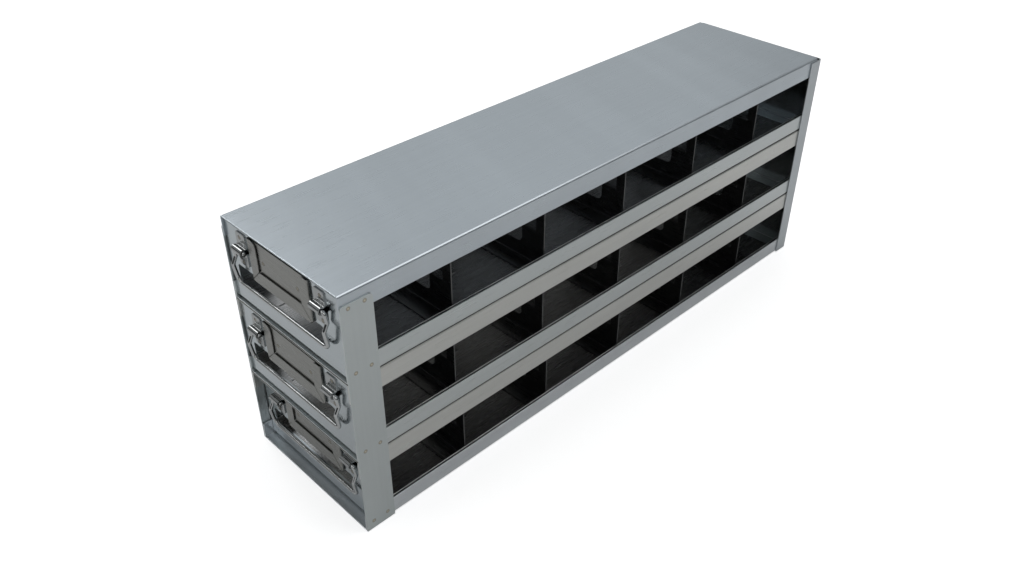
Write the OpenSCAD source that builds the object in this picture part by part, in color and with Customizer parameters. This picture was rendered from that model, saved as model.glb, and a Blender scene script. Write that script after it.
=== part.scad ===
// Freezer drawer rack: a casing of three tiers, folded from sheet steel, with a
// divided drawer sliding in each tier. Every drawer has a finger window, a folded
// label holder and a wire bail that swings in two rolled brackets.
// The origin is the centre of the base's underside. X points right, Y to the rear
// and Z up.

/* [Casing] */
// Width over the side flanges of the floors and ceilings
case_w = 139.7; // [130:0.1:160]
// Height of one tier, from floor to floor
tier_h = 72; // [70:0.5:100]
// Length of the top panel and of the floors
case_l = 562.2; // [556:0.2:640]
// Thickness of the casing's sheet
case_t = 1.2; // [0.9:0.1:1.5]
// Outside radius of the casing's bends
case_bend_r = 2; // [1.8:0.1:3]
// Height of the flanges that stand beside a floor
floor_flange_h = 15.6; // [12:0.1:17]
// Depth of the flanges that hang beside a ceiling
ceiling_flange_h = 17.2; // [12:0.1:20]
// Distance of a lower ceiling's rear edge from the floors' rear edge
ceiling_setback = 9; // [0:0.5:9]

/* [Posts and rear panel] */
// Width of a front post
post_w = 26; // [15:0.5:40]
// Distance of the posts' tops below the top panel
post_drop = 8; // [3:0.5:16]
// Radius of a post's two top corners
post_r = 3; // [1:0.5:6]
// Distance of the rear panel's back behind the floors' rear edge
rear_depth = 7; // [4:0.5:12]
// Depth of the rear panel's side flanges
rear_flange_w = 18; // [14:0.5:30]
// Outside radius of the rear panel's two upright bends
rear_bend_r = 3.5; // [2:0.1:4]
// Distance of the rear panel's top below the top panel
rear_drop = 2.5; // [1:0.5:16]

/* [Drawer] */
// Thickness of the drawers' sheet
drawer_t = 1; // [0.7:0.1:1.3]
// Outside radius of the drawers' bends
drawer_bend_r = 1.6; // [1.4:0.1:2.5]
// Running gap under a drawer
lift_gap = 0.3; // [0.2:0.05:0.6]
// Gap between a drawer's side wall and the flange beside it
side_gap = 1.25; // [0.8:0.05:2]
// Gap between a front panel's edge and the flange beside it
front_gap = 0.35; // [0.2:0.05:0.7]
// Gap between a front panel's top and the ceiling
front_top_gap = 1.8; // [0.8:0.1:3]
// Gap behind a drawer that is pushed right in
stop_gap = 0.3; // [0.2:0.05:0.6]
// Distance of a side wall's top below the top of the flange beside it
wall_drop = 0.1; // [0:0.1:2]
// How far the bottom drawer, pushed right in, lies behind the casing's front
bottom_inset = 8.3; // [7:0.1:12]
// How far the two upper drawers lie behind the casing's front
upper_inset = 1.8; // [0.5:0.1:6]
// Length of the foot under the front panel
front_foot_l = 10; // [6:0.5:12]
// Length of the return at the front panel's top
front_return_l = 8; // [4:0.5:12]
// Gap between the tray's side wall and the feet and plates that stand inside it
inner_gap = 0.6; // [0.2:0.1:1.5]

/* [Finger window and floor slot] */
// Distance of the finger window from the front panel's left edge
window_left = 8.8; // [6:0.2:28]
// Distance of the finger window from the front panel's right edge
window_right = 21.8; // [6:0.2:28]
// Height of the finger window's lower edge above the tier's floor line
window_z = 18.6; // [16:0.1:20]
// Height of the finger window
window_h = 16.4; // [12:0.1:17]
// Radius of the finger window's corners
window_r = 2.5; // [1:0.1:5]
// Distance of the floor slot to the left of the middle
slot_x = 35; // [20:0.5:50]
// Distance of the floor slot's near end behind the drawer's front
slot_y = 13; // [12.5:0.5:20]
// Length of the floor slot
slot_l = 8; // [4:0.5:20]
// Width of the floor slot
slot_w = 1; // [0.5:0.1:3]

/* [Dividers] */
// Length of the rearmost compartment; the others share what is left
rear_bay_l = 88.9; // [60:0.1:140]
// Length of a divider's foot, which points to the front
divider_foot_l = 14.5; // [8:0.5:20]
// Distance of a divider's top below the front panel's top
divider_drop = 5; // [2:0.5:12]
// Width of a divider's wings, beside the notch
wing_w = 23.8; // [22:0.2:36]
// Height of the notch's bottom above the tier's floor line
notch_z = 16; // [10:0.5:24]
// Radius of the notch's bottom corners
notch_r = 5; // [2:0.5:10]
// Distance of the lanced holes from the notch
tab_edge = 3; // [2:0.5:5]
// Width of a lanced hole
hole_w = 12; // [8:0.5:14]
// Height of a lanced hole above the tab's upper face
hole_h = 12.5; // [8:0.5:14]
// Height of the tab's upper face above the tier's floor line
tab_z = 33.5; // [28:0.5:38]
// Distance of a tab's free end behind the divider's front face
tab_l = 12; // [6:0.5:14]
// Slit between a tab's bend and the sides of its hole
tab_slit = 0.5; // [0.3:0.1:1]

/* [Label holder] */
// Gap between the label holder and a bracket
holder_gap = 4.85; // [1:0.05:9]
// Distance of the holder's top below the front panel's top
holder_drop = 1; // [0.5:0.1:3]
// Height of the holder
holder_h = 35.6; // [30:0.1:36]
// Thickness of the holder's sheet
holder_t = 0.8; // [0.5:0.1:0.9]
// How far the folded flaps stand out from the drawer's front
holder_d = 2; // [1.9:0.1:2.2]
// Width of the side flaps
leg_w = 10.2; // [6:0.2:14]
// Height of the bottom flap
flap_h = 11.4; // [6:0.2:14]
// Radius of the side flaps' inner top corners
leg_r = 5.5; // [2:0.5:6]
// Width of the slit between two flaps
mitre_w = 0.6; // [0.4:0.1:1]
// Size of the chamfer at the holder's lower corners
holder_chamfer = 2; // [1.5:0.1:3]

/* [Brackets] */
// Distance of a bracket from the front panel's edge
bracket_side = 15.45; // [14:0.05:20]
// Width of a bracket
bracket_w = 11.7; // [8:0.1:16]
// Thickness of the bracket's strap
strap_t = 1; // [0.8:0.1:1.3]
// Distance of the barrel's axis below the front panel's top
barrel_drop = 15.7; // [15:0.1:18]
// Distance of the barrel's axis in front of the drawer
barrel_off = 3.6; // [3.4:0.1:4.5]
// Height of the strap's upper end above the barrel's axis
strap_up = 13.2; // [9:0.1:15]
// Distance of the strap's lower end below the barrel's axis
strap_down = 13.8; // [9:0.1:14]
// Radius of the strap's corners
strap_r = 2; // [0.5:0.1:3]
// Radius in the hollow where the strap turns out to the barrel
neck_r = 1; // [0.6:0.1:1.5]
// Clearance round the wire in the barrel
pin_gap = 0.45; // [0.1:0.05:0.6]

/* [Bail handles] */
// Diameter of the wire
wire_d = 3; // [2.4:0.1:3.2]
// Gap between the bracket's end and the bail's arm
arm_gap = 1.2; // [0.4:0.05:2.5]
// How far the wire's end stands out of the barrel
pin_end = 1.3; // [0.3:0.1:1.6]
// Chamfer round the wire's ends
pin_chamfer = 0.6; // [0.2:0.1:1]
// Length of the bail from the barrel's axis to the bar's axis, along the arms
bail_drop = 29.4; // [26:0.1:32]
// Radius of the bail's two lower corners, on the wire's axis
bail_r = 5.5; // [3:0.5:6]
// Distance of the arms' joggle below the small bends at their tops
joggle_top = 5; // [3:0.5:9]
// Length of the sloping stretch in a joggle
joggle_l = 5.4; // [0.5:0.1:6]
// Radius of a joggle's bends, on the wire's axis
joggle_r = 2.5; // [2:0.5:3]
// Angle by which the bail leans back as it hangs, because its bar stands forward
hang_angle = 8.5; // [5:0.5:10]

/* [Hidden] */
TIERS = ["bottom", "middle", "top"];
SIDES = ["left", "right"];
DIVIDERS = 5;
DRAWER_PIECES = [
    "drawer_tray", "drawer_front", "drawer_back", "label_holder",
    "left_bracket", "right_bracket", "bail_handle"
];
$fn = 48;

// Length by which a cut runs past the sheet that it goes through
overrun = 1;
case_h = len(TIERS) * tier_h;
// Y of the casing's front edge, and of the rear panel's back
front_y = -case_l / 2;
rear_y = case_l / 2 + rear_depth;
// Half widths, from the casing's flanges inwards
flange_in = case_w / 2 - case_t;
tray_half = flange_in - side_gap;
front_half = flange_in - front_gap;
inner_half = tray_half - drawer_t - inner_gap;
// Heights above a tier's floor line
tray_z = case_t + lift_gap;
deck_z = tray_z + drawer_t;
wall_top = floor_flange_h - wall_drop;
front_top = tier_h - case_t - front_top_gap;
divider_top = front_top - divider_drop;
holder_z = front_top - holder_drop - holder_h;
barrel_z = front_top - barrel_drop;
// A drawer that is pushed right in leaves the stop gap before the rear panel
drawer_l = case_l + rear_depth - case_t - stop_gap - bottom_inset;
divider_pitch = (drawer_l - rear_bay_l) / DIVIDERS;
// Widths across a drawer's front and a divider, from their edges inwards
window_w = 2 * front_half - window_left - window_right;
notch_w = 2 * (inner_half - wing_w);
bracket_x = front_half - bracket_side - bracket_w / 2;
holder_w = 2 * bracket_x - bracket_w - 2 * holder_gap;
wire_r = wire_d / 2;
bore_r = wire_r + pin_gap;
barrel_r = bore_r + strap_t;
bracket_out = bracket_x + bracket_w / 2;
bracket_in = bracket_x - bracket_w / 2;
arm_x = bracket_out + arm_gap + wire_r;
// Slope of a joggle, that of a triangle with sides 3, 4 and 5
joggle_a = atan2(3, 4);
// How far the joggles bring the bar out in front of the barrels' axis
bar_out = 2 * joggle_r * (1 - cos(joggle_a)) + joggle_l * sin(joggle_a);
SHELL = "lightsteelblue";
RAIL = "darkgray";
SHEET = "silver";
BRIGHT = "gainsboro";

function inset(tier) = tier == 0 ? bottom_inset : upper_inset;

// A quarter of a bent sheet, in the quadrant that sx and sy point to
module bend(r, t, sx, sy) {
    intersection() {
        difference() {
            circle(r);
            circle(r - t);
        }
        translate([sx < 0 ? -r : 0, sy < 0 ? -r : 0]) square(r);
    }
}

// The section of a folded channel: the web lies on the axis and the flanges rise
module channel(w, h, t, r) {
    translate([r - w / 2, 0]) square([w - 2 * r, t]);
    for (s = [-1, 1]) {
        translate([s * (w / 2 - r), r]) bend(r, t, s, -1);
        translate([s > 0 ? w / 2 - t : -w / 2, r]) square([t, h - r]);
    }
}

// A section in X and Z, drawn out along Y from y0
module along_y(y0, l) {
    translate([0, y0 + l, 0]) rotate([90, 0, 0]) linear_extrude(l) children();
}

// A section in Y and Z, drawn out along X on both sides of x0
module along_x(x0, w) {
    translate([x0 - w / 2, 0, 0]) rotate([90, 0, 90]) linear_extrude(w) children();
}

module round_rect(w, h, r) {
    translate([r - w / 2, 0]) square([w - 2 * r, h]);
    translate([-w / 2, r]) square([w, h - 2 * r]);
    for (s = [-1, 1]) {
        translate([s * (w / 2 - r), r]) circle(r);
        translate([s * (w / 2 - r), h - r]) circle(r);
    }
}

// A straight piece of wire from a to b
module rod(a, b) {
    d = b - a;
    translate(a)
        rotate([0, acos(d[2] / norm(d)), atan2(d[1], d[0])])
            cylinder(h = norm(d), r = wire_r);
}

// A part of a turn of wire about the Z axis, from angle a0 to angle a1
module turn(r, a0, a1) {
    reach = 2 * (r + wire_r);
    a = abs(a1 - a0);
    rotate(min(a0, a1))
        intersection() {
            rotate_extrude() translate([r, 0]) circle(wire_r);
            translate([0, 0, -reach])
                linear_extrude(2 * reach)
                    polygon([[0, 0], [reach, 0], [reach * cos(a), reach * sin(a)]]);
        }
}

// Wire down the Y axis from y0 to y1, with a joggle towards -X below y0 - top
module joggled_wire(y0, top, y1) {
    a = joggle_a;
    first = [0, y0 - top];
    slope = first + joggle_r * [cos(a) - 1, -sin(a)];
    low = slope - joggle_l * [sin(a), cos(a)];
    last = low + joggle_r * [cos(a) - 1, -sin(a)];
    rod([0, y0, 0], [first[0], first[1], 0]);
    translate(first - [joggle_r, 0]) turn(joggle_r, -a, 0);
    rod([slope[0], slope[1], 0], [low[0], low[1], 0]);
    translate(last + [joggle_r, 0]) turn(joggle_r, 180 - a, 180);
    rod([last[0], last[1], 0], [last[0], y1, 0]);
}

// A pin along X with a chamfered end at x0
module pin(x0, x1) {
    translate([x0, 0, 0])
        rotate([0, 90, 0])
            rotate_extrude()
                polygon([
                    [0, 0], [wire_r - pin_chamfer, 0], [wire_r, pin_chamfer],
                    [wire_r, x1 - x0], [0, x1 - x0]
                ]);
}

// Casing

module floor_panel(tier) {
    color(SHELL)
        translate([0, 0, tier * tier_h])
            along_y(front_y, case_l)
                channel(case_w, floor_flange_h, case_t, case_bend_r);
}

module ceiling_panel(tier, setback) {
    color(setback > 0 ? RAIL : SHELL)
        translate([0, 0, (tier + 1) * tier_h])
            mirror([0, 0, 1])
                along_y(front_y, case_l - setback)
                    channel(case_w, ceiling_flange_h, case_t, case_bend_r);
}

module front_post(side) {
    h = case_h - post_drop;
    color(SHELL)
        along_x(side * (case_w + case_t) / 2, case_t)
            translate([front_y, 0]) {
                square([post_w, h - post_r]);
                translate([post_r, h - post_r]) square([post_w - 2 * post_r, post_r]);
                translate([post_r, h - post_r]) circle(post_r);
                translate([post_w - post_r, h - post_r]) circle(post_r);
            }
}

module rear_panel() {
    color(SHELL)
        translate([0, rear_y, 0])
            rotate(180)
                linear_extrude(case_h - rear_drop)
                    channel(case_w + 2 * case_t, rear_flange_w, case_t, rear_bend_r);
}

// Drawer, with its front face on Y = 0 and the tier's floor line on Z = 0

module in_tier(tier) {
    translate([0, front_y + inset(tier), tier * tier_h]) children();
}

module drawer_tray() {
    color(SHEET)
        difference() {
            translate([0, 0, tray_z])
                along_y(drawer_t, drawer_l - drawer_t)
                    channel(2 * tray_half, wall_top - tray_z, drawer_t, drawer_bend_r);
            translate([-slot_x - slot_w / 2, slot_y, tray_z - overrun])
                cube([slot_w, slot_l, drawer_t + 2 * overrun]);
        }
}

// The front is a channel on its side: a foot on the tray and a return at the top
module front_section() {
    r = drawer_bend_r;
    t = drawer_t;
    translate([0, deck_z + r]) square([t, front_top - deck_z - 2 * r]);
    translate([r, deck_z + r]) bend(r, t, -1, -1);
    translate([r, deck_z]) square([front_foot_l - r, t]);
    translate([r, front_top - r]) bend(r, t, -1, 1);
    translate([r, front_top - t]) square([front_return_l - r, t]);
}

module drawer_front() {
    color(SHEET)
        difference() {
            along_x(0, 2 * front_half) front_section();
            along_y(-overrun, drawer_t + 2 * overrun)
                translate([(window_left - window_right) / 2, window_z])
                    round_rect(window_w, window_h, window_r);
            for (s = [0, 1])
                mirror([s, 0, 0])
                    translate([inner_half, drawer_t, 0])
                        cube([front_half, front_foot_l, wall_top]);
        }
}

// An upright plate from the deck to a given height, with its foot to the front
module upright_section(top) {
    r = drawer_bend_r;
    t = drawer_t;
    translate([0, deck_z + r]) square([t, top - deck_z - r]);
    translate([t - r, deck_z + r]) bend(r, t, 1, -1);
    translate([-divider_foot_l, deck_z]) square([divider_foot_l + t - r, t]);
}

module drawer_back() {
    color(SHEET)
        translate([0, drawer_l - drawer_t, 0])
            along_x(0, 2 * inner_half) upright_section(front_top);
}

// The open-topped notch between a divider's two wings
module notch() {
    top = divider_top + overrun;
    translate([-notch_w / 2, notch_z + notch_r]) square([notch_w, top - notch_z - notch_r]);
    translate([notch_r - notch_w / 2, notch_z]) square([notch_w - 2 * notch_r, notch_r]);
    for (s = [-1, 1])
        translate([s * (notch_w / 2 - notch_r), notch_z + notch_r]) circle(notch_r);
}

// A tongue lanced out of the plate and bent level towards the rear
module tab_section() {
    r = drawer_bend_r;
    translate([r, tab_z - r]) bend(r, drawer_t, -1, 1);
    translate([r, tab_z - drawer_t]) square([tab_l - r, drawer_t]);
}

module divider() {
    tab_x = notch_w / 2 + tab_edge + hole_w / 2;
    color(RAIL) {
        difference() {
            along_x(0, 2 * inner_half) upright_section(divider_top);
            along_y(-overrun, drawer_t + 2 * overrun) {
                notch();
                for (s = [-1, 1])
                    translate([s * tab_x - hole_w / 2, tab_z - drawer_bend_r])
                        square([hole_w, hole_h + drawer_bend_r]);
            }
        }
        for (s = [-1, 1])
            along_x(s * tab_x, hole_w - 2 * tab_slit) tab_section();
    }
}

// Label holder: a plate whose two sides and bottom are folded over to the front

module holder_outline() {
    a = (holder_w - holder_d) / 2;
    low = holder_z + holder_d / 2;
    cut = holder_chamfer - holder_d / 2;
    top = holder_z + holder_h;
    polygon([
        [-a, top], [-a, low + cut], [cut - a, low],
        [a - cut, low], [a, low + cut], [a, top]
    ]);
}

module flap_outline() {
    leg_in = holder_w / 2 - leg_w;
    sill = holder_z + flap_h;
    top = holder_z + holder_h;
    difference() {
        holder_outline();
        translate([-leg_in, sill]) square([2 * leg_in, holder_h]);
        for (s = [0, 1])
            mirror([s, 0]) {
                translate([leg_in, sill])
                    rotate(-45)
                        translate([-overrun, -mitre_w / 2]) square([holder_w, mitre_w]);
                difference() {
                    translate([leg_in - overrun, top - leg_r]) square(leg_r + overrun);
                    translate([leg_in + leg_r, top - leg_r]) circle(leg_r);
                }
            }
    }
}

// The fold between the plate and a flap, as a half ring open towards -X
module hem() {
    r = holder_d / 2;
    intersection() {
        difference() {
            circle(r);
            circle(r - holder_t);
        }
        translate([0, -r]) square([r, 2 * r]);
    }
}

module label_holder() {
    a = (holder_w - holder_d) / 2;
    cut = holder_chamfer - holder_d / 2;
    low = holder_z + holder_d / 2;
    color(RAIL) {
        along_y(-holder_t, holder_t) holder_outline();
        along_y(-holder_d, holder_t) flap_outline();
        for (s = [0, 1])
            mirror([s, 0, 0])
                translate([a, -holder_d / 2, low + cut])
                    linear_extrude(holder_z + holder_h - low - cut) hem();
        along_x(0, 2 * (a - cut))
            translate([-holder_d / 2, low]) rotate(-90) hem();
    }
}

// Bracket: a strap welded to the front above and below, and rolled round the wire

module bracket_section() {
    neck_y = strap_t + neck_r;
    barrel_h = sqrt(pow(barrel_r, 2) - pow(barrel_off - neck_y, 2));
    neck_h = barrel_h + neck_r;
    difference() {
        translate([-barrel_off, 0]) circle(barrel_r);
        translate([-barrel_off, 0]) circle(bore_r);
        translate([-neck_y, -barrel_r]) square(2 * barrel_r);
    }
    for (s = [0, 1])
        mirror([0, s]) {
            translate([-neck_y, neck_h]) bend(neck_y, strap_t, 1, -1);
            translate([-strap_t, neck_h])
                square([strap_t, (s == 0 ? strap_up : strap_down) - neck_h]);
        }
}

module bracket(side) {
    color(BRIGHT)
        translate([side * bracket_x, 0, barrel_z])
            intersection() {
                along_x(0, bracket_w) bracket_section();
                along_y(-2 * barrel_off, 2 * barrel_off + overrun)
                    translate([0, -strap_down])
                        round_rect(bracket_w, strap_up + strap_down, strap_r);
            }
}

// Bail: one length of wire, from one barrel down, across and up to the other

module bail_half() {
    turn_r = arm_x - bracket_out;
    corner_z = bail_r - bail_drop;
    pin(bracket_in - pin_end, bracket_out);
    translate([bracket_out, 0, -turn_r]) rotate([90, 0, 0]) turn(turn_r, 0, 90);
    translate([arm_x, 0, 0])
        rotate([90, 0, 90]) joggled_wire(-turn_r, joggle_top, corner_z);
    translate([arm_x - bail_r, -bar_out, corner_z])
        rotate([90, 0, 0]) turn(bail_r, -90, 0);
}

module bail_handle() {
    color(BRIGHT)
        translate([0, -barrel_off, barrel_z]) rotate([hang_angle, 0, 0]) {
            for (s = [0, 1])
                mirror([s, 0, 0]) bail_half();
            rod([bail_r - arm_x, -bar_out, -bail_drop], [arm_x - bail_r, -bar_out, -bail_drop]);
        }
}

floor_panel(0);  // base_panel
ceiling_panel(0, ceiling_setback);  // lower_ceiling
floor_panel(1);  // lower_shelf
ceiling_panel(1, ceiling_setback);  // upper_ceiling
floor_panel(2);  // upper_shelf
ceiling_panel(2, 0);  // top_panel
rear_panel();
front_post(-1);  // front_post_left
front_post(1);  // front_post_right
for (i = [0:len(TIERS) - 1]) {
    tier = TIERS[i];
    in_tier(i) drawer_tray();
    in_tier(i) drawer_front();
    in_tier(i) drawer_back();
    in_tier(i) label_holder();
    in_tier(i) bracket(-1);
    in_tier(i) bracket(1);
    in_tier(i) bail_handle();
    for (n = [1:DIVIDERS])
        in_tier(i) translate([0, n * divider_pitch, 0]) divider();
}
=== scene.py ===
# %% [markdown]
# # A freezer drawer rack of brushed stainless sheet
# The rack is a welded casing with three tiers, and a divided drawer slides in each.
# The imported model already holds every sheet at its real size, so this lesson dresses
# it: it gives each sheet its rolled and brushed finish, adds the marks that spot
# welding leaves, and lights it the way a catalogue picture is lit.

import math

import bpy
import numpy as np
from mathutils import Matrix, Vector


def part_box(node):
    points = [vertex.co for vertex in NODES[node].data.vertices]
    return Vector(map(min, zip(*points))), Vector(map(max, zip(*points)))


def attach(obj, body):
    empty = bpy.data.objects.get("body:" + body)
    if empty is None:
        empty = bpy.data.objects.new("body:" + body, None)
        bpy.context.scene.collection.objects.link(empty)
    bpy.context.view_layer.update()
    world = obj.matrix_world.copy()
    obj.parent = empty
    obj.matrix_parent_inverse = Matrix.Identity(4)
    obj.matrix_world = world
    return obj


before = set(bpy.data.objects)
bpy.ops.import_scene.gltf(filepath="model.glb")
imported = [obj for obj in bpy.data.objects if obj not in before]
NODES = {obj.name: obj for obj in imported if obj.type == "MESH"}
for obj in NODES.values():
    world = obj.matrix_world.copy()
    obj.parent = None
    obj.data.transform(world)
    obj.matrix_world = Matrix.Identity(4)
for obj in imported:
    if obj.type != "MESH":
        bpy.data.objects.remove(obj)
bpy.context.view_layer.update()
MM = 0.001
TIERS = ("bottom", "middle", "top")

# %% [markdown]
# ## Camera
# The photograph looks down on the right front corner from about 35 degrees. A camera
# could be set by eye, but the depth of so long a rack depends on it, so its axes and
# place were solved beforehand from the casing's corners and edges. They are written
# here as three directions and a point. Against the corners as they were last picked
# in the photo, the top's four lie within a pixel, and the base's front left one is
# about three pixels off.

# %% Camera
CAMERA_RIGHT = (0.699343, 0.714785, 0.001008)
CAMERA_DOWN = (0.413249, -0.403169, -0.816505)
CAMERA_FORWARD = (-0.583219, 0.571434, -0.577338)
CAMERA_PLACE = (0.48394, -0.53489, 0.55830)
PHOTO_WIDTH = 1024
FOCAL_PIXELS = 944.32
SENSOR_MM = 36
NEAREST_SEEN = 10 * MM

camera_data = bpy.data.cameras.new("camera")
camera_data.sensor_width = SENSOR_MM
camera_data.lens = FOCAL_PIXELS / PHOTO_WIDTH * SENSOR_MM
camera_data.clip_start = NEAREST_SEEN
camera = bpy.data.objects.new("camera", camera_data)
bpy.context.scene.collection.objects.link(camera)
axes = np.array([CAMERA_RIGHT, np.negative(CAMERA_DOWN), np.negative(CAMERA_FORWARD)])
pose = np.eye(4)
pose[:3, :3] = axes.T
pose[:3, 3] = CAMERA_PLACE
camera.matrix_world = Matrix(pose.tolist())
bpy.context.scene.camera = camera
bpy.context.scene.view_settings.view_transform = "Standard"
print("lens", round(camera_data.lens, 2), "mm")

# %% [markdown]
# ## Shader maths as Python
# A finish changes over the sheet, and Blender works such changes out with nodes. They
# could be linked one by one, but a formula is easier to read. `Value` wraps one output
# socket, and its operators add the Math node that they stand for.

# %% Values
class Value:
    """One number that varies over the surface, as the output socket of a node."""

    def __init__(self, shader, socket):
        self.shader = shader
        self.socket = socket

    def _math(self, operation, a, b):
        return self.shader.node("ShaderNodeMath", {0: a, 1: b}, operation=operation)

    def __add__(self, other):
        return self._math("ADD", self, other)

    def __radd__(self, other):
        return self._math("ADD", other, self)

    def __sub__(self, other):
        return self._math("SUBTRACT", self, other)

    def __rsub__(self, other):
        return self._math("SUBTRACT", other, self)

    def __mul__(self, other):
        return self._math("MULTIPLY", self, other)

    def __rmul__(self, other):
        return self._math("MULTIPLY", other, self)

    def __mod__(self, other):
        return self._math("MODULO", self, other)

    def __rmod__(self, other):
        return self._math("MODULO", other, self)

    def between(self, low, high):
        """0 at low, 1 at high, in a straight line between them and level outside."""
        inputs = {"Value": self, "From Min": low, "From Max": high}
        return self.shader.node("ShaderNodeMapRange", inputs, clamp=True)


print("a Value takes +, -, * and %, and between()")

# %% [markdown]
# Every other node comes from one method, `node`, which takes the node's type, its
# settings and the values or links of its sockets. A material adds its surface shader
# to that. Its patterns read Object coordinates, which here are the rack's own metres,
# so a pattern keeps its size on every sheet and needs no unwrapping.

# %% Node trees
class Nodes:
    """A node tree and the one method that makes its nodes."""

    def __init__(self, tree):
        self.tree = tree

    def node(self, kind, inputs, output=0, stops=None, **settings):
        """A node of a kind: its settings, then its colour stops, then its sockets."""
        made = self.tree.nodes.new(kind)
        for key, setting in settings.items():
            setattr(made, key, setting)
        if stops:
            ramp = made.color_ramp.elements
            while len(ramp) < len(stops):
                ramp.new(0.5)
            for element, (at, colour) in zip(ramp, stops):
                element.position = at
                element.color = (*colour, 1)
        for key, given in inputs.items():
            if isinstance(given, Value):
                self.tree.links.new(given.socket, made.inputs[key])
            else:
                made.inputs[key].default_value = given
        return Value(self, made.outputs[output])


class Shader(Nodes):
    """The node tree of one material."""

    def __init__(self, name):
        self.material = bpy.data.materials.new(name)
        self.material.use_nodes = True
        super().__init__(self.material.node_tree)
        self.bsdf = self.tree.nodes["Principled BSDF"]
        self.place = self.node("ShaderNodeTexCoord", {}, "Object")

    def stretched(self, scale, lean=0.0):
        """Object coordinates, turned by lean about Z and scaled by numbers per metre."""
        turned = {"Vector": self.place, "Rotation": (0, 0, lean)}
        first = self.node("ShaderNodeMapping", turned)
        return self.node("ShaderNodeMapping", {"Vector": first, "Scale": scale})

    def noise(self, scale, detail=2.0, rough=0.5, lean=0.0):
        """Noise from 0 to 1, with a scale per metre along X, Y and Z."""
        return self.node(
            "ShaderNodeTexNoise",
            {"Vector": self.stretched(scale, lean), "Scale": 1.0, "Detail": detail,
             "Roughness": rough},
        )

    def mix(self, factor, a, b):
        """The colour a where factor is 0 and b where it is 1."""
        return self.node(
            "ShaderNodeMix", {0: factor, 6: a, 7: b}, output=2, data_type="RGBA"
        )

    def bump(self, height, strength, distance):
        """A normal that leans with a height."""
        return self.node(
            "ShaderNodeBump",
            {"Strength": strength, "Distance": distance, "Height": height},
        )

    def set(self, name, given):
        """A socket of the surface shader: a link for a Value and a number otherwise."""
        socket = self.bsdf.inputs[name]
        if isinstance(given, Value):
            self.tree.links.new(given.socket, socket)
        else:
            socket.default_value = given


def shade(colour, factor):
    """A colour times a factor, as four numbers."""
    return (*[min(1.0, channel * factor) for channel in colour], 1.0)


print("half of white is", shade((1, 1, 1), 0.5))

# %% [markdown]
# ## Brushed stainless
# Stainless sheet leaves the mill with a fine grain along its rolling direction. The
# grain is long thin noise: it varies quickly across the sheet and slowly along it. It
# moves the roughness and lifts a shallow bump, so reflections smear across it. Over
# it lie wider streaks, a cloudy change of tone, a few scratches and faint smudges.
# The top also has broad bands, which lean by 15.5 degrees to the sheet's edge.
# A photographed texture could show all this, but it would repeat along a rack this
# long, so the grain is worked out instead.
#
# Some sheets need more: a painted highlight on the trays' sheared top edge, painted
# shade in the groove between two tiers, and painted light on the trays' floors just
# behind the finger windows.

# %% Brushed steel
X_AXIS, Y_AXIS, Z_AXIS = 0, 1, 2

# Noises, as variations per metre. A length share is how much slower they are along
# the grain than across it.
GRAIN_PER_M = 2600.0
LENGTH_SHARE = 0.012
STREAK_PER_M = GRAIN_PER_M / 6
STREAK_LENGTH_SHARE = 0.024
SCRATCH_PER_M = GRAIN_PER_M / 3
SCRATCH_LENGTH_SHARE = 0.02
SCRATCH_RANGE = (0.73, 0.78)
CLOUDS_PER_M = (14.0, 9.0, 14.0)
SMUDGES_PER_M = (55.0, 38.0, 60.0)
BANDS_PER_M = (2.0, 36.0, 2.0)
BAND_LEAN = math.radians(15.5)

# How far each noise moves the tone, and the colour's factors at tones 0 and 1
CLOUD_TONE, STREAK_TONE, LINE_TONE, SCRATCH_TONE = 2.2, 0.14, 0.08, 0.03
TONE_SHARES = (0.62, 1.38)

# How far the lines and the smudges move the roughness, and the bump of the grain
LINE_SPREAD, SMUDGE_SPREAD, SMUDGE_GRAIN_SPREAD = 0.20, 0.03, 0.10
STREAK_HEIGHT = 0.4
BUMP_STRENGTH, BUMP_DISTANCE = 0.05, 0.05 * MM

# Painted highlight: the trays' sheared top edge is painted bright, as a lit edge,
# and fades in over a tenth of a millimetre
EDGE_HIGHLIGHT_COLOUR = (0.66, 0.67, 0.67)
EDGE_HIGHLIGHT_FADE = 0.1 * MM

# Painted shade in the groove between two tiers, within 0.8 mm of the tier's floor line
TIER_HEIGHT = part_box("lower_shelf")[0].z
PAINTED_GROOVE_SHADE_HALF = 0.8 * MM
PAINTED_GROOVE_SHADE_SHARE = 0.08

# Painted light: the trays' floors are painted lighter just behind the finger windows,
# where the photo shows them light
PAINTED_LIGHT_LENGTH = 36 * MM
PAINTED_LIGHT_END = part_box("top_drawer_front")[0].y + PAINTED_LIGHT_LENGTH
PAINTED_LIGHT_FADE = 12 * MM
PAINTED_LIGHT_FACTOR = 2.4


def long_noise(s, axis, per_m, length_share, detail=1.0):
    """Noise that is stretched along one axis."""
    scale = [per_m] * 3
    scale[axis] = per_m * length_share
    return s.noise(scale, detail)


def height_in_tier(s):
    """Height over the floor line of the tier that a point lies in."""
    return s.node("ShaderNodeSeparateXYZ", {"Vector": s.place}, "Z") % TIER_HEIGHT


def toned(s, tone, colour, factor=1.0):
    """A colour times a factor, darker at tone 0 and brighter at tone 1."""
    dark, bright = (shade(colour, factor * share) for share in TONE_SHARES)
    return s.mix(tone.between(0, 1), dark, bright)


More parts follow.
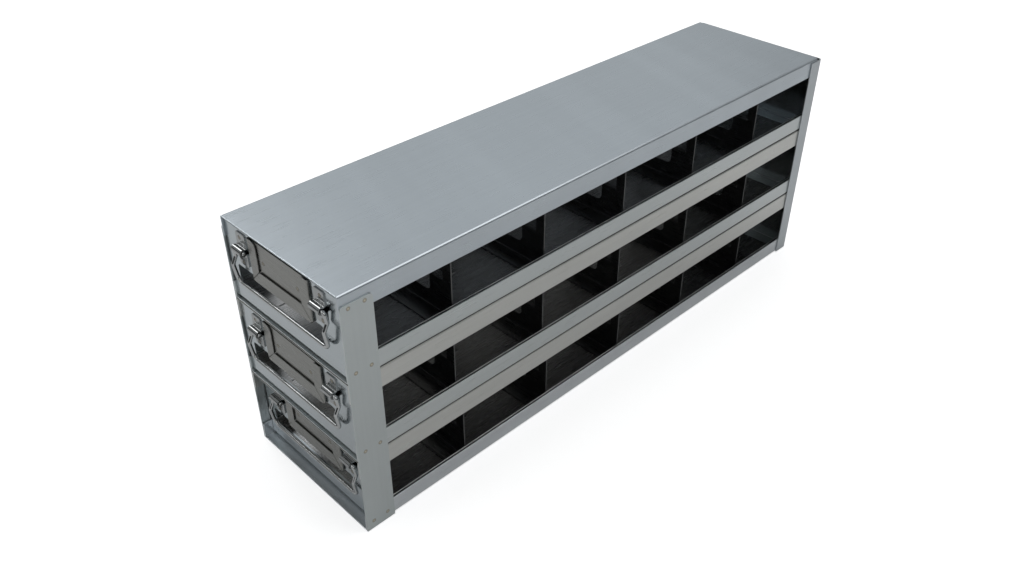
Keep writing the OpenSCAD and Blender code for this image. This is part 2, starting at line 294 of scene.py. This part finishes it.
def brushed_steel(name, colour, along, rough=0.30, grain=1.0, cloud=0.06, bands=0.0,
                  edge_highlight_at=None, painted_groove_shade=False, painted_light_to=None):
    """Rolled sheet: along is the axis (0, 1 or 2) that its grain follows.

    The tone is 0.5 plus a weighted sum of noises, each less its mean of 0.5. Steel
    higher than the given edge height over its tier's floor line is a sheared edge,
    painted bright as a painted highlight. With the groove option, the groove between
    two tiers gets painted shade. Steel in front of the given end gets painted light:
    it is lighter, by the painted light's factor.
    """
    s = Shader(name)
    lines = long_noise(s, along, GRAIN_PER_M, LENGTH_SHARE, detail=1.5)
    streaks = long_noise(s, along, STREAK_PER_M, STREAK_LENGTH_SHARE)
    scratches = long_noise(s, along, SCRATCH_PER_M, SCRATCH_LENGTH_SHARE)
    clouds = s.noise(CLOUDS_PER_M, detail=3.0, rough=0.55)
    smudges = s.noise(SMUDGES_PER_M, detail=4.0, rough=0.65)
    rolled = s.noise(BANDS_PER_M, detail=1.0, rough=0.4, lean=BAND_LEAN)
    tone = 0.5 + (clouds - 0.5) * (CLOUD_TONE * cloud) + (rolled - 0.5) * bands
    tone = tone + (streaks - 0.5) * (STREAK_TONE * grain)
    tone = tone + (lines - 0.5) * (LINE_TONE * grain)
    tone = tone + scratches.between(*SCRATCH_RANGE) * SCRATCH_TONE
    tint = toned(s, tone, colour)
    # Painted light on the trays' floors just behind the finger windows
    if painted_light_to is not None:
        y = s.node("ShaderNodeSeparateXYZ", {"Vector": s.place}, "Y")
        painted_light_share = 1 - y.between(painted_light_to - PAINTED_LIGHT_FADE, painted_light_to)
        tint = s.mix(painted_light_share, tint, toned(s, tone, colour, PAINTED_LIGHT_FACTOR))
    # Painted highlight on the trays' sheared top edge
    if edge_highlight_at is not None:
        edge_highlight = height_in_tier(s).between(edge_highlight_at - EDGE_HIGHLIGHT_FADE, edge_highlight_at)
        tint = s.mix(edge_highlight, tint, shade(EDGE_HIGHLIGHT_COLOUR, 1))
    # Painted shade in the groove between two tiers
    if painted_groove_shade:
        in_tier = height_in_tier(s)
        under = in_tier.between(TIER_HEIGHT - PAINTED_GROOVE_SHADE_HALF, TIER_HEIGHT - PAINTED_GROOVE_SHADE_HALF / 2)
        over = 1 - in_tier.between(PAINTED_GROOVE_SHADE_HALF / 2, PAINTED_GROOVE_SHADE_HALF)
        tint = s.mix(under + over, tint, shade(colour, PAINTED_GROOVE_SHADE_SHARE))
    s.set("Base Color", tint)
    s.set("Metallic", 1.0)
    spread = (lines - 0.5) * (LINE_SPREAD * grain)
    spread = spread + (smudges - 0.5) * (SMUDGE_SPREAD + SMUDGE_GRAIN_SPREAD * grain)
    s.set("Roughness", (spread + rough).between(0, 1))
    height = lines * grain + streaks * (STREAK_HEIGHT * grain)
    s.set("Normal", s.bump(height, BUMP_STRENGTH, BUMP_DISTANCE))
    print("finish", name)
    return s.material


# %% [markdown]
# ## A finish for every sheet
# One finish for all would be simpler, but the grain runs along the casing and across
# the fronts, and the sheets differ in tone, so each kind of sheet has its own. Its
# colour was set by comparing small regions with the photo. The trays and dividers
# are painted darker than stainless is, as painted shade, because the inside of the rack
# is dark in the photo. When a drawer is pulled out, they look darker than real ones would.

# %% Finishes
# The trays' side walls end in a sheared edge, 15.5 mm over the tier's floor line,
# which carries a painted highlight from this height up
EDGE_HIGHLIGHT_HEIGHT = 15.3 * MM
FINISHES = {
    "casing": brushed_steel("casing_rolled", (0.53, 0.575, 0.61), Y_AXIS,
                            grain=0.6, cloud=0.04, bands=0.16),
    "base": brushed_steel("base_rolled", (0.64, 0.665, 0.685), Y_AXIS,
                          grain=0.6, cloud=0.04, bands=0.16),
    # The shelves and ceilings carry painted shade in the groove between two tiers
    "shelf": brushed_steel("shelf_rolled", (0.565, 0.595, 0.595), Y_AXIS,
                           grain=0.6, painted_groove_shade=True),
    "ceiling": brushed_steel("rail_rolled", (0.60, 0.60, 0.575), Y_AXIS, rough=0.32,
                             painted_groove_shade=True),
    "post": brushed_steel("post_rolled", (0.54, 0.575, 0.575), Z_AXIS, rough=0.36,
                          grain=0.6),
    "rear": brushed_steel("rear_rolled", (0.50, 0.53, 0.55), X_AXIS, rough=0.34),
    "front": brushed_steel("front_brushed", (0.49, 0.53, 0.55), X_AXIS, rough=0.17,
                           grain=0.7),
    # Trays and dividers are painted dark, as painted shade for the inside of the rack
    "tray": brushed_steel("tray_rolled_painted_shade", (0.155, 0.155, 0.155), Y_AXIS, rough=0.28,
                          edge_highlight_at=EDGE_HIGHLIGHT_HEIGHT, painted_light_to=PAINTED_LIGHT_END),
    "divider": brushed_steel("divider_rolled_painted_shade", (0.12, 0.12, 0.12), X_AXIS),
    "holder": brushed_steel("holder_brushed", (0.25, 0.25, 0.237), X_AXIS, rough=0.28),
    "strap": brushed_steel("strap_polished", (0.36, 0.37, 0.37), X_AXIS, rough=0.17,
                           grain=0.4),
    "wire": brushed_steel("wire_polished", (0.46, 0.47, 0.47), X_AXIS, rough=0.10,
                          grain=0.05),
}
ENDINGS = {
    "_shelf": "shelf", "_ceiling": "ceiling", "_tray": "tray", "_front": "front",
    "_back": "front", "_holder": "holder", "_bracket": "strap", "_handle": "wire",
    "rear_panel": "rear", "base_panel": "base",
}


def finish_of(node):
    """The finish of a CAD node, told from its name."""
    if "_divider_" in node:
        return "divider"
    if node.startswith("front_post"):
        return "post"
    return next((ENDINGS[end] for end in ENDINGS if node.endswith(end)), "casing")


for name, node_object in NODES.items():
    node_object.data.materials.clear()
    node_object.data.materials.append(FINISHES[finish_of(name)])
print(len(NODES), "sheets and wires have a finish")

# %% [markdown]
# ## Soft edges
# Sheared sheet is deburred before it is welded, so its edges are broken a little and
# show as thin bright lines: here by a quarter of a millimetre, and by half of one on
# the posts. The solids could carry this, but each would need many more faces. A bevel
# on each does it instead, and its normals are weighted by face area, so that flats
# stay flat and bends round. The bails are round wire and have no edge to break.

# %% Soft edges
EDGE_BREAK = 0.25 * MM
POST_EDGE_BREAK = 0.5 * MM
JOIN_DISTANCE = 0.002 * MM
SHARP_ANGLE = math.radians(40)


def soften(target, width):
    """Break a solid's sharp edges by a small bevel."""
    weld = target.modifiers.new("join", "WELD")
    weld.merge_threshold = JOIN_DISTANCE
    bevel = target.modifiers.new("edge", "BEVEL")
    bevel.width = width
    bevel.segments = 2
    bevel.limit_method = "ANGLE"
    bevel.angle_limit = SHARP_ANGLE
    shading = target.modifiers.new("shade", "WEIGHTED_NORMAL")
    shading.keep_sharp = True


for name, node_object in NODES.items():
    if not name.endswith("_handle"):
        soften(node_object, POST_EDGE_BREAK if "_post_" in name else EDGE_BREAK)
print(len(NODES) - len(TIERS), "sheets have soft edges")

# %% [markdown]
# ## Spot welds
# A spot weld leaves a round mark: a flat the size of the electrode, a low rim round it
# and a straw-brown ring where the heat has tinted the steel. Marks could be painted
# into the sheets' finish, but a raised rim catches the light as the real one does. So
# each mark is a profile turned about the weld's axis. Its border lies lowest, and two
# thousandths of a millimetre off the sheet, so that the sheet doesn't show through.

# %% Weld marks
MARK_R = 1.9 * MM
MARK_SHARES = np.array([0.0, 0.2, 0.36, 0.46, 0.54, 0.62, 0.70, 0.80, 0.9, 1.0])
MARK_SIDES = 28
FLAT_H, RIM_H = 0.012 * MM, 0.05 * MM
RIM_SHARE, RIM_WIDTH_SHARE = 0.54, 0.12
BORDER_DEPTH = 0.002 * MM


def sheet_mesh(name, points, faces):
    """A mesh object from a list of points and a list of faces."""
    mesh = bpy.data.meshes.new(name)
    mesh.from_pydata(points, [], faces)
    mesh.update()
    made = bpy.data.objects.new(name, mesh)
    bpy.context.scene.collection.objects.link(made)
    return made


def mark_heights(shares):
    """Heights at shares s of the radius, over the mark's own plane.

    (F + R exp(-((s - c) / w)^2)) (1 - s^8) - B s, with F the flat's height, R the
    rim's, c and w the rim's place and width as shares, and B the border's depth.
    """
    rim = RIM_H * np.exp(-(((shares - RIM_SHARE) / RIM_WIDTH_SHARE) ** 2))
    return (FLAT_H + rim) * (1 - shares**8) - BORDER_DEPTH * shares


def weld_marks(name, centres, outward, side, tint):
    """Marks on one flat sheet: centres in metres, outward and side unit vectors.

    With s as the share of the radius R, t as the turn and h from mark_heights, a point
    of a mark is centre + R s (cos(t) side + sin(t) outward x side) + h outward.
    """
    centres, outward, side = (np.array(given, float) for given in (centres, outward, side))
    turn = np.linspace(0, 2 * np.pi, MARK_SIDES, endpoint=False)
    ring = np.cos(turn)[:, None] * side + np.sin(turn)[:, None] * np.cross(outward, side)
    offsets = MARK_R * MARK_SHARES[1:, None, None] * ring
    offsets = offsets + mark_heights(MARK_SHARES[1:])[:, None, None] * outward
    offsets = np.vstack([mark_heights(MARK_SHARES[:1])[:, None] * outward,
                         offsets.reshape(-1, 3)])
    points = (centres[:, None, :] + offsets).reshape(-1, 3)
    step = np.arange(MARK_SIDES)
    after = (step + 1) % MARK_SIDES
    fan = np.stack([np.zeros_like(step), 1 + step, 1 + after], 1)
    rows = 1 + MARK_SIDES * np.arange(len(MARK_SHARES) - 2)[:, None]
    near, far = rows + step, rows + after
    quads = np.stack([near, near + MARK_SIDES, far + MARK_SIDES, far], 2).reshape(-1, 4)
    shift = len(offsets) * np.arange(len(centres))[:, None, None]
    faces = (fan + shift).reshape(-1, 3).tolist() + (quads + shift).reshape(-1, 4).tolist()
    made = sheet_mesh(name, points.tolist(), faces)
    radius = np.concatenate([[0.0], np.repeat(MARK_SHARES[1:], MARK_SIDES)])
    corners = np.zeros(len(made.data.loops), dtype=np.int32)
    made.data.loops.foreach_get("vertex_index", corners)
    flat = np.zeros((len(corners), 2))
    flat[:, 0] = np.tile(radius, len(centres))[corners]
    made.data.uv_layers.new(name="radius").data.foreach_set("uv", flat.ravel())
    made.data.polygons.foreach_set("use_smooth", [True] * len(made.data.polygons))
    made.data.materials.append(TINTS[tint])
    return made


print("a mark rises by", round(mark_heights(MARK_SHARES).max() / MM, 3), "mm")

# %% [markdown]
# The mark's tint depends on its radius alone, so the mesh carries the radius as a UV
# and a colour ramp reads it. The steel is bright in the flat, brown on the rim, and
# fades into the sheet outside it. A little noise keeps the rings from being perfect.

# %% Heat tint
TINT_STOPS = [
    (0.0, (0.62, 0.59, 0.50)), (0.30, (0.60, 0.56, 0.46)), (0.50, (0.30, 0.26, 0.19)),
    (0.62, (0.40, 0.36, 0.28)), (0.80, (0.50, 0.49, 0.45)), (1.0, (0.54, 0.56, 0.56)),
]
FADE_SHARES = (0.72, 0.96)
EDGE_NOISE_PER_M, EDGE_NOISE = 1500.0, 0.16
ROUGH_NOISE_PER_M, MARK_ROUGH, ROUGH_NOISE = 3000.0, 0.34, 0.2
PIT_PER_M, PIT_STRENGTH, PIT_DEPTH = 2500.0, 0.15, 0.03 * MM


def heat_tint(name, level):
    """Bright flat, brown rim, and a border that fades out; level scales its colours."""
    s = Shader(name)
    uv = s.node("ShaderNodeUVMap", {}, uv_map="radius")
    radius = s.node("ShaderNodeSeparateXYZ", {"Vector": uv})
    uneven = radius + (s.noise([EDGE_NOISE_PER_M] * 3) - 0.5) * EDGE_NOISE
    stops = [(at, shade(colour, level)[:3]) for at, colour in TINT_STOPS]
    s.set("Base Color", s.node("ShaderNodeValToRGB", {0: uneven}, stops=stops))
    s.set("Metallic", 1.0)
    s.set("Roughness", MARK_ROUGH + (s.noise([ROUGH_NOISE_PER_M] * 3) - 0.5) * ROUGH_NOISE)
    s.set("Alpha", 1 - uneven.between(*FADE_SHARES))
    s.set("Normal", s.bump(s.noise([PIT_PER_M] * 3), PIT_STRENGTH, PIT_DEPTH))
    return s.material


TINTS = {"light": heat_tint("heat_tint", 1.0), "dark": heat_tint("heat_tint_dark", 0.5)}
print(len(TINTS), "heat tints")

# %% [markdown]
# The marks sit where the sheets overlap. The posts are welded to the flange of each
# floor and to the top panel, in pairs. The label holder and the brackets have theirs
# on the drawer's front. Places come from the boxes of the solids that carry them.

# %% Place the weld marks
LIFT = 0.004 * MM
# Posts: steps across a post, height over a floor line, depth under a post's top
POST_STEPS = (6.5 * MM, 19.5 * MM)
FLANGE_MID = 7.6 * MM
TOP_MARK_DEPTH = 3.2 * MM
# Fronts: sheet thicknesses, and marks by X and Z in mm from a piece's middle
HOLDER_SHEET, STRAP_SHEET = 0.8 * MM, 1.0 * MM
HOLDER_MARKS_MM = [(-20.0, 3.5), (21.5, 3.5)]
STRAP_MARKS_X_MM = {"left": -1.0, "right": 1.5}
STRAP_MARKS_Z_MM = (9.5, -11.0)


def post_marks(post_name, sign):
    """Pairs of marks on a front post, at each floor's flange and the top panel's."""
    low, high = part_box(post_name)
    floors = [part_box(n)[0].z for n in ("base_panel", "lower_shelf", "upper_shelf")]
    heights = [z + FLANGE_MID for z in floors] + [high.z - TOP_MARK_DEPTH]
    face = (high.x if sign > 0 else low.x) + sign * LIFT
    centres = [(face, low.y + y, z) for z in heights for y in POST_STEPS]
    made = weld_marks(post_name + "_welds", centres, (sign, 0, 0), (0, 0, 1), "light")
    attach(made, "casing")
    return made


def front_marks(tier, part, places_mm, sheet):
    """Marks on a piece of a drawer's front: X and Z in mm from the piece's middle."""
    low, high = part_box(f"{tier}_{part}")
    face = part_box(f"{tier}_drawer_front")[0].y - sheet - LIFT
    mid_x, mid_z = (low.x + high.x) / 2, (low.z + high.z) / 2
    centres = [(mid_x + x * MM, face, mid_z + z * MM) for x, z in places_mm]
    made = weld_marks(f"{tier}_{part}_welds", centres, (0, -1, 0), (1, 0, 0), "dark")
    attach(made, f"{tier}_drawer")
    return made


marks = [post_marks("front_post_left", -1), post_marks("front_post_right", 1)]
for tier in TIERS:
    marks.append(front_marks(tier, "label_holder", HOLDER_MARKS_MM, HOLDER_SHEET))
    for side, x in STRAP_MARKS_X_MM.items():
        places_mm = [(x, z) for z in STRAP_MARKS_Z_MM]
        marks.append(front_marks(tier, f"{side}_bracket", places_mm, STRAP_SHEET))
print(len(marks), "groups of weld marks")

# %% [markdown]
# ## Floor and light
# A catalogue picture stands the rack on a white sweep. The floor is a plain pale
# plane. More light would make it white, but the steel would clip, so the camera alone
# sees a little glow on it. That lifts it to white where no shadow falls.

# %% Floor
FLOOR_HALF = 6.0
FLOOR_GREY = 0.80
FLOOR_ROUGH = 0.9
FLOOR_LIFT = 0.60
corners = FLOOR_HALF * np.array([[-1, -1, 0], [1, -1, 0], [1, 1, 0], [-1, 1, 0]])
floor = sheet_mesh("floor", corners.tolist(), [(0, 1, 2, 3)])
floor_shader = Shader("floor_white")
floor_shader.set("Base Color", shade((FLOOR_GREY,) * 3, 1))
floor_shader.set("Roughness", FLOOR_ROUGH)
camera_ray = floor_shader.node("ShaderNodeLightPath", {}, "Is Camera Ray")
lifted = floor_shader.mix(camera_ray, (0, 0, 0, 1), shade((FLOOR_LIFT,) * 3, 1))
floor_shader.set("Emission Color", lifted)
floor_shader.set("Emission Strength", 1.0)
floor.data.materials.append(floor_shader.material)
print("floor of", 2 * FLOOR_HALF, "m")

# %% [markdown]
# Polished steel shows what is round it. A picture of a room could be hung round the
# rack, but a ramp over the height of the view does as much here: the room is dim
# beside the lamps, and a dark band round the horizon gives the upright sheets their
# contrast. The camera alone sees the room as pure white.

# %% Room
ROOM_LEVEL = 0.33
# The room's colour by the height of the direction, from 0 at the horizon to 1 overhead
ROOM_STOPS = [(0.10, (0.05, 0.055, 0.06)), (0.32, (0.96, 0.985, 1.0))]
world = bpy.data.worlds.new("pale_room")
world.use_nodes = True
room = Nodes(world.node_tree)
direction = room.node("ShaderNodeTexCoord", {}, "Generated")
height = room.node("ShaderNodeSeparateXYZ", {"Vector": direction}, "Z")
pale = room.node("ShaderNodeValToRGB", {"Fac": height}, stops=ROOM_STOPS)
mirrored = room.node("ShaderNodeBackground", {"Color": pale, "Strength": ROOM_LEVEL})
seen = room.node("ShaderNodeBackground", {"Color": shade((1, 1, 1), 1), "Strength": 1.0})
camera_ray = room.node("ShaderNodeLightPath", {}, "Is Camera Ray")
either = room.node("ShaderNodeMixShader", {0: camera_ray, 1: mirrored, 2: seen})
room.tree.links.new(either.socket, room.tree.nodes["World Output"].inputs["Surface"])
room.tree.nodes.remove(room.tree.nodes["Background"])
bpy.context.scene.world = world
print("the room is white to the camera")

# %% [markdown]
# Lamps could ring the rack evenly, but steel lit so looks flat, so each of these has a
# task. A straight edge or wire mirrors only the lamps on a cone round its axis. The
# left lamp lies on the cone of the bars and barrels, and the one overhead on the cones
# of the top panel's right bend, from its front end to about its middle. The rear lamp
# gives the top its sheen, and two weak ones fill the right side and the fronts.

# %% Lamps
RACK_MIDDLE = (0, 0, 0.1)


def soft_lamp(name, place, size, watts, target=RACK_MIDDLE, colour=(1, 1, 1)):
    """A rectangular lamp, size across and along, turned to face a target."""
    lamp = bpy.data.lights.new(name, "AREA")
    lamp.shape = "RECTANGLE"
    lamp.size, lamp.size_y = size
    lamp.energy = watts
    lamp.color = colour
    made = bpy.data.objects.new(name, lamp)
    bpy.context.scene.collection.objects.link(made)
    back = np.array(place, float) - np.array(target, float)
    back /= np.linalg.norm(back)
    side = np.cross((0, 1, 0), back)
    side /= np.linalg.norm(side)
    turned = np.eye(4)
    turned[:3, 0] = side
    turned[:3, 1] = np.cross(back, side)
    turned[:3, 2] = back
    turned[:3, 3] = place
    made.matrix_world = Matrix(turned.tolist())


COOL = (0.93, 0.975, 1.0)
soft_lamp("rear_sheen", (-2.2, 2.1, 2.1), (3.0, 3.0), watts=8, colour=COOL)
soft_lamp("left_strip", (-2.1, -0.1, 2.2), (1.1, 1.1), watts=18)
soft_lamp("overhead", (0.6, 1.0, 2.2), (2.4, 1.5), watts=15, target=(0.1, 0.4, 0))
soft_lamp("right_fill", (1.0, -0.9, 1.1), (1.0, 1.0), watts=2.5)
soft_lamp("front_fill", (-0.3, -1.8, 1.4), (1.2, 1.2), watts=4)
print("stage is set")
